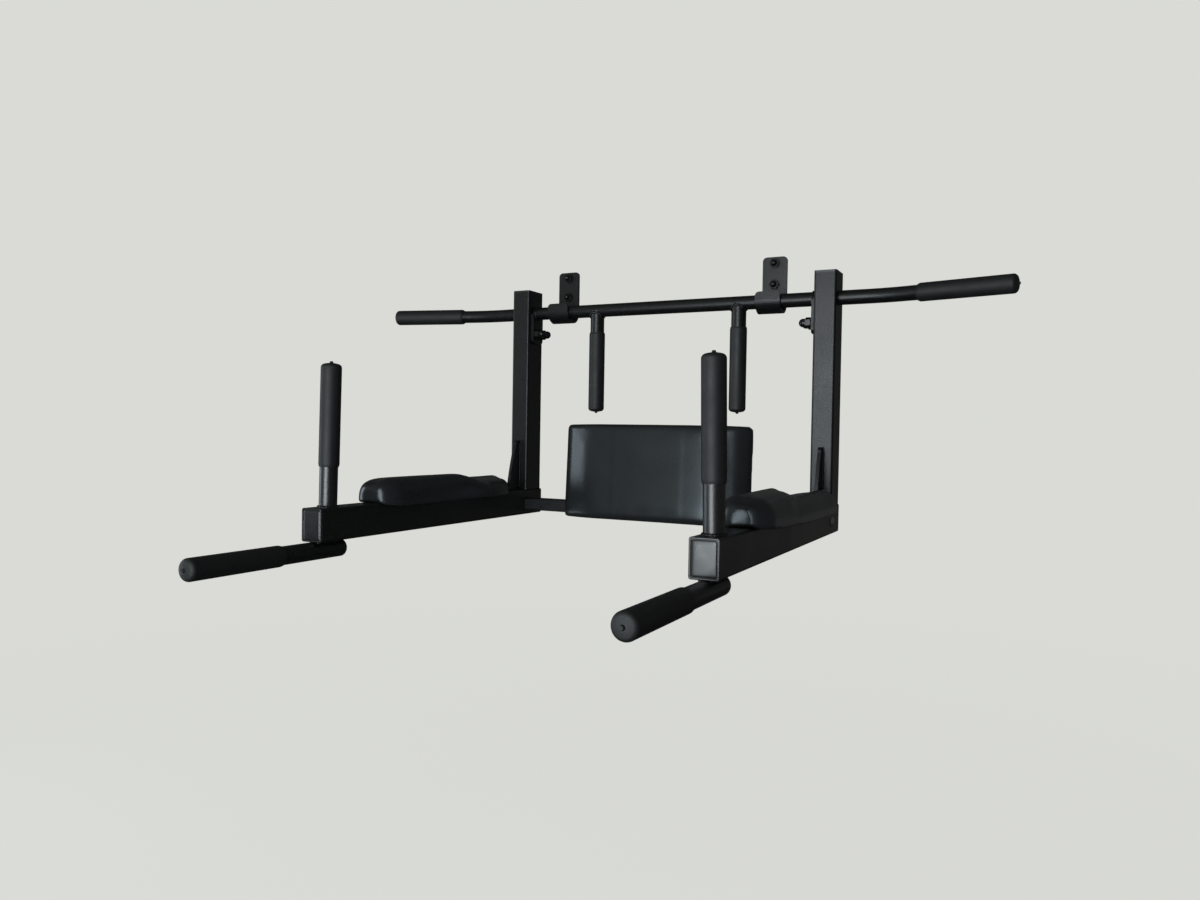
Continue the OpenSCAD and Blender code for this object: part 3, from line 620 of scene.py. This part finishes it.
def elbow_base(k, u):
    """Height of the lower edge, which comes down beside the arm toward the rear."""
    inner = BASE_START - (ELBOW_SKIRT + BASE_START) * (1 - math.exp(-k / INNER_DOWN_LEN))
    outer = ELBOW_LIFT - (ELBOW_OUTER_SKIRT + ELBOW_LIFT) * (1 - math.exp(-k / OUTER_DOWN_LEN))
    return inner + (outer - inner) * (1 + u) / 2


def elbow_ring(k, side, slim):
    """The cushion's section at one place along it, made slimmer all round by the given amount."""
    to_end = ELBOW_LEN - k
    outer = ELBOW_OUTER - NOSE_OUTER_IN * (1 - round_end(k, ELBOW_CORNER))
    outer -= TAIL_OUTER_IN * (1 - round_end(to_end, TAIL_CORNER))
    inner = ELBOW_INNER - NOSE_INNER_IN * (1 - round_end(k, ELBOW_CORNER + INNER_CORNER_MORE))
    inner -= (ELBOW_INNER + TAIL_INNER_PAST) * (1 - round_end(to_end, ELBOW_TAIL, TAIL_POWER))
    half, mid = (outer + inner) / 2 - slim, (outer - inner) / 2
    ends = NOSE_LEFT + (1 - NOSE_LEFT) * round_end(k, ELBOW_NOSE)
    ends *= TAIL_LEFT + (1 - TAIL_LEFT) * round_end(to_end, TAIL_ROUND)
    ring, wrap = [], WRAP * (1 - smooth_step(k / WRAP_LEN))
    for a in range(0, 181, 4):
        angle = math.radians(a)
        u = signed_power(math.cos(angle), ELBOW_SECTION)
        x = mid + half * u
        base = elbow_base(k, u) - wrap
        h = (elbow_top(k, x / TOP_HALF_W) - base) * ends - slim
        ring.append((x, base + h * signed_power(math.sin(angle), ELBOW_SECTION)))
    low, high = ring[-1][1], ring[0][1]
    left, right = mid - half, mid + half
    for i in range(1, UNDER_STEPS):
        x = left + (right - left) * i / UNDER_STEPS
        z = low + (high - low) * i / UNDER_STEPS
        over_arm = abs(x) < POST_W / MM / 2 + ARM_CLEAR
        ring.append((x, max(z, ARM_CLEAR) if over_arm else z - wrap))
    y = ELBOW_BACK - ELBOW_LEN + k
    return [Vector((SIDE_X[side] + SIDES[side] * x * MM, y * MM, ARM_TOP + z * MM)) for x, z in ring]


def make_elbow_cushion(side):
    front = [ELBOW_NOSE * (1 - math.cos(a)) for a in quarter(6)]
    rear = [ELBOW_TAIL * (1 - math.cos(a)) for a in reversed(quarter(5))]
    n = ELBOW_STEPS
    body = [ELBOW_NOSE + (ELBOW_LEN - ELBOW_NOSE - ELBOW_TAIL) * t / n for t in range(1, n)]
    lengths = front + body + [ELBOW_LEN - k for k in rear]
    rings = [elbow_ring(k, side, ELBOW_SLIM) for k in lengths]
    obj = piece("elbow_pad_" + side, *loft(rings), VINYL, "vinyl")

    def held(point):
        inside = abs(point.x - SIDE_X[side]) < POST_W / 2 + HELD_BESIDE * MM
        return inside and point.z < ARM_TOP + HELD_OVER * MM

    plump(obj, ELBOW_VOXEL * MM, held, ELBOW_SMOOTHING)
    board, extent = middle("elbow_board_" + side), size("elbow_board_" + side)
    channel = rounded_rect(POST_W / MM + 2 * FIT, 2 * ELBOW_LEN, CHANNEL_R)
    over = rounded_rect(extent.x / MM + 2 * FIT, extent.y / MM + 2 * FIT, BOARD_R + FIT)

    def ring_at(outline, z):
        return [Vector((board.x + x * MM, board.y + y * MM, ARM_TOP + z * MM)) for x, y in outline]

    cut(obj, [ring_at(channel, -CHANNEL_DEPTH), ring_at(channel, FIT)])
    cut(obj, [ring_at(over, -POCKET_DOWN), ring_at(over, extent.z / MM + FIT)])
    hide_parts("elbow_cushion_" + side)
    return obj


# Plugs in the front ends of the arms, in millimetres: a raised cushion inside a rim

PLUG_PROFILE = (
    # behind the face, in from the edge, corner radius
    (20.0, 3.2, 1.5), (4.0, 3.2, 1.5), (4.0, 0.0, 3.2), (1.2, 0.0, 3.2), (0.5, 0.25, 3.2), (0.2, 0.8, 3.0),
    (0.2, 2.2, 2.6), (0.4, 2.5, 2.6), (1.5, 2.8, 2.6), (1.5, 3.4, 2.8), (0.7, 3.9, 3.2), (0.4, 4.8, 3.6),
    (0.2, 6.5, 4.5), (0.08, 9.0, 4.5), (0.0, 13.0, 4.0),
)
# Angle from which an edge of the plug stays sharp
PLUG_SHARP = math.radians(55)


def make_arm_plug(side):
    node = "arm_front_plug_" + side
    w, h, centre, face = size(node).x / MM, size(node).z / MM, middle(node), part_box(node)[0].y
    rings = []
    for depth, inset, r in PLUG_PROFILE:
        outline = rounded_rect(w - 2 * inset, h - 2 * inset, r)
        rings.append([Vector((centre.x + x * MM, face + depth * MM, centre.z + z * MM)) for x, z in outline])
    obj = piece("arm_plug_" + side, *loft(rings), PLUG, slot_of(node))
    obj.data.set_sharp_from_angle(angle=PLUG_SHARP)
    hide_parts(node)
    return obj


# Welds: rippled beads, in metres

# Radius of the beads round the handles, round the bar, under the arms and along the gussets
WELD_R = 2.4 * MM
BAR_WELD_R = 2.0 * MM
DIP_WELD_R = 3.2 * MM
GUSSET_WELD_R = 2.2 * MM
# Ripples along a bead: their length and their share of the radius, and the same of a slower change
RIPPLE, RIPPLE_SHARE = 3.4 * MM, 0.16
DRIFT, DRIFT_SHARE = 2.7 * MM, 0.1
# Sides of a bead, the length of its steps, and the fewest steps of a straight and a round one
BEAD_SIDES = 8
BEAD_STEP = 0.9 * MM
STRAIGHT_LEAST, ROUND_LEAST = 8, 24
# Share of the radius at a bead's end, and the steps over which it grows to the whole
END_SHARE, END_STEPS = 0.35, 4
# Upward share of a direction from which it counts as upright
UPRIGHT = 0.9
UP = Vector((0, 0, 1))
# Places of the beads against the parts that they join
FOOT_LIFT = 0.3 * MM
SADDLE_EDGE = 1 * MM
DIP_BEAD_DOWN, DIP_BEAD_ASIDE, DIP_FRONT_IN, DIP_BACK_IN = 1.5 * MM, 7 * MM, 6 * MM, 4 * MM
GUSSET_TIP_IN, GUSSET_BACK_IN, GUSSET_FOOT_UP = 6 * MM, 1 * MM, 2 * MM


def bead_tube(path, closed, radius):
    """Points and faces of a rippled bead along a path."""
    n, m = len(path), BEAD_SIDES
    verts, faces, run = [], [], 0.0
    for i, point in enumerate(path):
        back = path[i - 1] if closed or i else point
        ahead = path[(i + 1) % n] if closed or i < n - 1 else point
        along = (ahead - back).normalized()
        side = (along.cross(UP) if abs(along.z) < UPRIGHT else along.orthogonal()).normalized()
        other = along.cross(side)
        ripple = RIPPLE_SHARE * math.sin(2 * math.pi * run / RIPPLE)
        r = radius * (1 + ripple + DRIFT_SHARE * math.sin(run / DRIFT))
        if not closed:
            r *= min(1.0, END_SHARE + min(i, n - 1 - i) / END_STEPS)
        for j in range(m):
            b = 2 * math.pi * j / m
            verts.append(point + side * (r * math.cos(b)) + other * (r * math.sin(b)))
        run += (ahead - point).length
    for i in range(n if closed else n - 1):
        for j in range(m):
            a, b = i * m + j, i * m + (j + 1) % m
            c, d = (i + 1) % n * m + (j + 1) % m, (i + 1) % n * m + j
            faces.append((a, b, c, d))
    if not closed:
        faces.append(tuple(range(m - 1, -1, -1)))
        faces.append(tuple((n - 1) * m + j for j in range(m)))
    return verts, faces


def straight(start, end):
    steps = max(int((end - start).length / BEAD_STEP), STRAIGHT_LEAST)
    return [start.lerp(end, t / steps) for t in range(steps + 1)]


def around(centre, radius, point_at):
    steps = max(int(2 * math.pi * radius / BEAD_STEP), ROUND_LEAST)
    return [centre + point_at(2 * math.pi * t / steps) for t in range(steps)]


def make_welds(name, paths, closed, radius):
    """One piece of the beads along some paths."""
    verts, faces = [], []
    for path in paths:
        more, quads = bead_tube(path, closed, radius)
        faces += [tuple(i + len(verts) for i in face) for face in quads]
        verts += more
    return piece(name, verts, faces, PAINT, slot_of("post_left"))


def upright_foot(side):
    """Round the foot of the handle that stands on the arm."""
    r = size("upright_tube_left").y / 2
    centre = Vector((SIDE_X[side], middle("upright_tube_" + side).y, ARM_TOP))
    return around(centre, r, lambda a: Vector((r * math.cos(a), r * math.sin(a), FOOT_LIFT)))


def hanging_top(side):
    """Round the top of the hanging handle, up and down over the bar's underside."""
    r = size("hanging_tube_left").x / 2

    def point_at(a):
        reach = min(abs(r * math.sin(a)), BAR_R - SADDLE_EDGE)
        return Vector((r * math.cos(a), r * math.sin(a), -math.sqrt(BAR_R ** 2 - reach ** 2)))

    return around(Vector((middle("hanging_tube_" + side).x, BAR_Y, BAR_Z)), r, point_at)


def bar_foot(side):
    """Round the bar where it comes out of the ear."""
    low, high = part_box("bar_ear_" + side)
    centre = Vector((high.x if side == "left" else low.x, BAR_Y, BAR_Z))
    return around(centre, BAR_R, lambda a: Vector((0, BAR_R * math.cos(a), BAR_R * math.sin(a))))


def dip_seams(side):
    """Along both sides of the dip tube, under the arm."""
    z = ARM_BASE - DIP_BEAD_DOWN
    front, back = ARM_FRONT + DIP_FRONT_IN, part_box("dip_tube_" + side)[1].y - DIP_BACK_IN
    for x in (SIDE_X[side] - DIP_BEAD_ASIDE, SIDE_X[side] + DIP_BEAD_ASIDE):
        yield straight(Vector((x, front, z)), Vector((x, back, z)))


def gusset_seams(side):
    """Along the foot and the back of the gusset, on both of its faces."""
    low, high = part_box("gusset_" + side)
    for x in (low.x, high.x):
        foot_end = Vector((x, POST_FRONT - GUSSET_BACK_IN, ARM_TOP))
        yield straight(Vector((x, low.y + GUSSET_TIP_IN, ARM_TOP)), foot_end)
        top_end = Vector((x, POST_FRONT, high.z - GUSSET_TIP_IN))
        yield straight(Vector((x, POST_FRONT, ARM_TOP + GUSSET_FOOT_UP)), top_end)


make_back_cushion()
for side in SIDES:
    make_elbow_cushion(side)
    make_arm_plug(side)
    make_welds("upright_weld_" + side, [upright_foot(side)], True, WELD_R)
    make_welds("hanging_weld_" + side, [hanging_top(side)], True, WELD_R)
    make_welds("bar_weld_" + side, [bar_foot(side)], True, BAR_WELD_R)
    make_welds("dip_weld_" + side, dip_seams(side), False, DIP_WELD_R)
    make_welds("gusset_weld_" + side, gusset_seams(side), False, GUSSET_WELD_R)


# Stage: floor, world, lamps and camera

BACKDROP = (0.701, 0.708, 0.672, 1.0)
# What the room, the floor near by and the floor far away look like in reflections
SHADE = (0.055, 0.056, 0.055, 1.0)
FLOOR_SHADE = (0.020, 0.020, 0.020, 1.0)
FAR_FLOOR_SHADE = (0.080, 0.080, 0.078, 1.0)
# Colour and strength of the light from all round
SOFT = (0.95, 0.98, 1.0, 1.0)
AMBIENT = 0.3
# Direction of the room's lighter side in reflections, where it starts, and its share of the backdrop
LIGHT_SIDE = Vector((-0.45, -0.88, 0.12)).normalized()
LIGHT_SIDE_START, LIGHT_SIDE_SHARE = 0.3, 0.4
FLOOR_Z = -1.5
FLOOR_HALF = 40.0
# Between these distances from the middle the floor turns into plain backdrop, and its shade turns lighter
FADE_NEAR, FADE_FAR = 2.0, 5.0
SHADE_NEAR, SHADE_FAR = 3.0, 8.0
# Share of plain backdrop in the floor near the middle, and its strength there, which makes up for the shadow
PLAIN_SHARE, PLAIN_GLOW = 0.82, 1.11
# Name, place, aim, width, height, radiance and colour of each lamp
LAMPS = (
    ("key", (0.1, -2.7, -0.2), (0.0, -0.3, -0.3), 1.0, 1.4, 5.9, (0.91, 0.98, 1.04)),
    ("low", (0.1, -2.7, -0.95), (0.0, -0.3, -0.3), 1.0, 0.5, 3.4, (0.93, 0.98, 1.02)),
    ("low_left", (-0.45, -2.7, -0.78), (0.0, -0.3, -0.3), 0.4, 0.5, 6.6, (0.86, 0.98, 1.02)),
    ("window", (-2.8, -1.15, -0.45), (0.0, -0.1, -0.45), 0.95, 2.0, 2.9, (0.86, 0.96, 1.04)),
)
# The photograph's camera: place in metres, turn in degrees, focal length and frame width in pixels
CAMERA_PLACE = (0.7032, -1.6426, -0.30195)
YAW, PITCH, ROLL = 27.311, -1.236, 0.935
FOCAL_PX, FRAME_PX = 883.1, 1200.0
SENSOR_MM = 36.0
CLIP_NEAR, CLIP_FAR = 0.05, 200.0


def seen_directly(n):
    """1 for rays from the camera and in reflections and glass, 0 for the rest."""
    path = n.add("ShaderNodeLightPath")
    first = n.math("MAXIMUM", path.outputs["Is Camera Ray"], path.outputs["Is Glossy Ray"])
    return n.math("MAXIMUM", first, path.outputs["Is Transmission Ray"])


def in_reflections(n):
    """1 for rays in reflections, 0 for the rest."""
    return n.add("ShaderNodeLightPath").outputs["Is Glossy Ray"]


def make_world():
    """The backdrop where it is seen, a darker room in reflections and soft light for the rest."""
    world = bpy.data.worlds.new("studio")
    bpy.context.scene.world = world
    world.use_nodes = True
    tree = world.node_tree
    tree.nodes.clear()
    n = Nodes(tree)
    way = n.add("ShaderNodeVectorMath", _operation="DOT_PRODUCT")
    tree.links.new(n.add("ShaderNodeTexCoord").outputs["Generated"], way.inputs[0])
    way.inputs[1].default_value = LIGHT_SIDE
    lighter = n.range(way.outputs["Value"], LIGHT_SIDE_START, 1.0, 0.0, LIGHT_SIDE_SHARE)
    room = n.mix(lighter, SHADE, BACKDROP)
    pale = n.mix(in_reflections(n), BACKDROP, room)
    plain = n.add("ShaderNodeBackground", Color=pale, Strength=1.0)
    soft = n.add("ShaderNodeBackground", Color=SOFT, Strength=AMBIENT)
    mix = n.add("ShaderNodeMixShader", i0=seen_directly(n), i1=soft.outputs[0], i2=plain.outputs[0])
    out = n.add("ShaderNodeOutputWorld")
    tree.links.new(mix.outputs[0], out.inputs["Surface"])


def make_floor():
    """A pale floor that takes a faint shadow near the middle and is plain backdrop far away."""
    mesh = bpy.data.meshes.new("floor")
    h = FLOOR_HALF
    corners = [(-h, -h, FLOOR_Z), (h, -h, FLOOR_Z), (h, h, FLOOR_Z), (-h, h, FLOOR_Z)]
    mesh.from_pydata(corners, [], [(0, 1, 2, 3)])
    floor = bpy.data.objects.new("floor", mesh)
    bpy.context.scene.collection.objects.link(floor)
    mat = bpy.data.materials.new("floor")
    mat.use_nodes = True
    tree = mat.node_tree
    tree.nodes.clear()
    n = Nodes(tree)
    place = n.add("ShaderNodeTexCoord").outputs["Object"]
    away = n.add("ShaderNodeVectorMath", _operation="LENGTH")
    tree.links.new(place, away.inputs[0])
    distance = away.outputs["Value"]
    far = n.range(distance, FADE_NEAR, FADE_FAR, PLAIN_SHARE, 1.0)
    glow = n.range(distance, FADE_NEAR, FADE_FAR, PLAIN_GLOW, 1.0)
    lit = n.add("ShaderNodeBsdfDiffuse", Color=BACKDROP)
    dim = n.mix(n.range(distance, SHADE_NEAR, SHADE_FAR, 0.0, 1.0), FLOOR_SHADE, FAR_FLOOR_SHADE)
    plain = n.add("ShaderNodeEmission", Color=n.mix(in_reflections(n), BACKDROP, dim), Strength=glow)
    share = n.math("MAXIMUM", n.math("MULTIPLY", seen_directly(n), far), in_reflections(n))
    mix = n.add("ShaderNodeMixShader", i0=share, i1=lit.outputs[0], i2=plain.outputs[0])
    out = n.add("ShaderNodeOutputMaterial")
    tree.links.new(mix.outputs[0], out.inputs["Surface"])
    mesh.materials.append(mat)


def make_lamp(name, place, aim, width, height, radiance, color):
    light = bpy.data.lights.new(name, "AREA")
    light.shape = "RECTANGLE"
    light.size, light.size_y = width, height
    light.energy = radiance * math.pi * width * height
    light.color = color
    lamp = bpy.data.objects.new(name, light)
    lamp.location = place
    lamp.rotation_euler = (Vector(aim) - Vector(place)).to_track_quat("-Z", "Y").to_euler()
    lamp.visible_camera = False
    bpy.context.scene.collection.objects.link(lamp)


def make_camera():
    yaw, pitch, roll = math.radians(YAW), math.radians(PITCH), math.radians(ROLL)
    forward = Vector((-math.sin(yaw) * math.cos(pitch), math.cos(yaw) * math.cos(pitch), math.sin(pitch)))
    right = Vector((math.cos(yaw), math.sin(yaw), 0.0))
    up = right.cross(forward)
    turned_right = right * math.cos(roll) + up * math.sin(roll)
    turned_up = up * math.cos(roll) - right * math.sin(roll)
    camera = bpy.data.cameras.new("camera")
    camera.sensor_width = SENSOR_MM
    camera.lens = SENSOR_MM * FOCAL_PX / FRAME_PX
    camera.clip_start, camera.clip_end = CLIP_NEAR, CLIP_FAR
    obj = bpy.data.objects.new("camera", camera)
    turn = Matrix((turned_right, turned_up, -forward)).transposed().to_4x4()
    obj.matrix_world = Matrix.Translation(CAMERA_PLACE) @ turn
    bpy.context.scene.collection.objects.link(obj)
    bpy.context.scene.camera = obj


make_world()
make_floor()
for lamp in LAMPS:
    make_lamp(*lamp)
make_camera()
bpy.context.scene.view_settings.view_transform = "Standard"
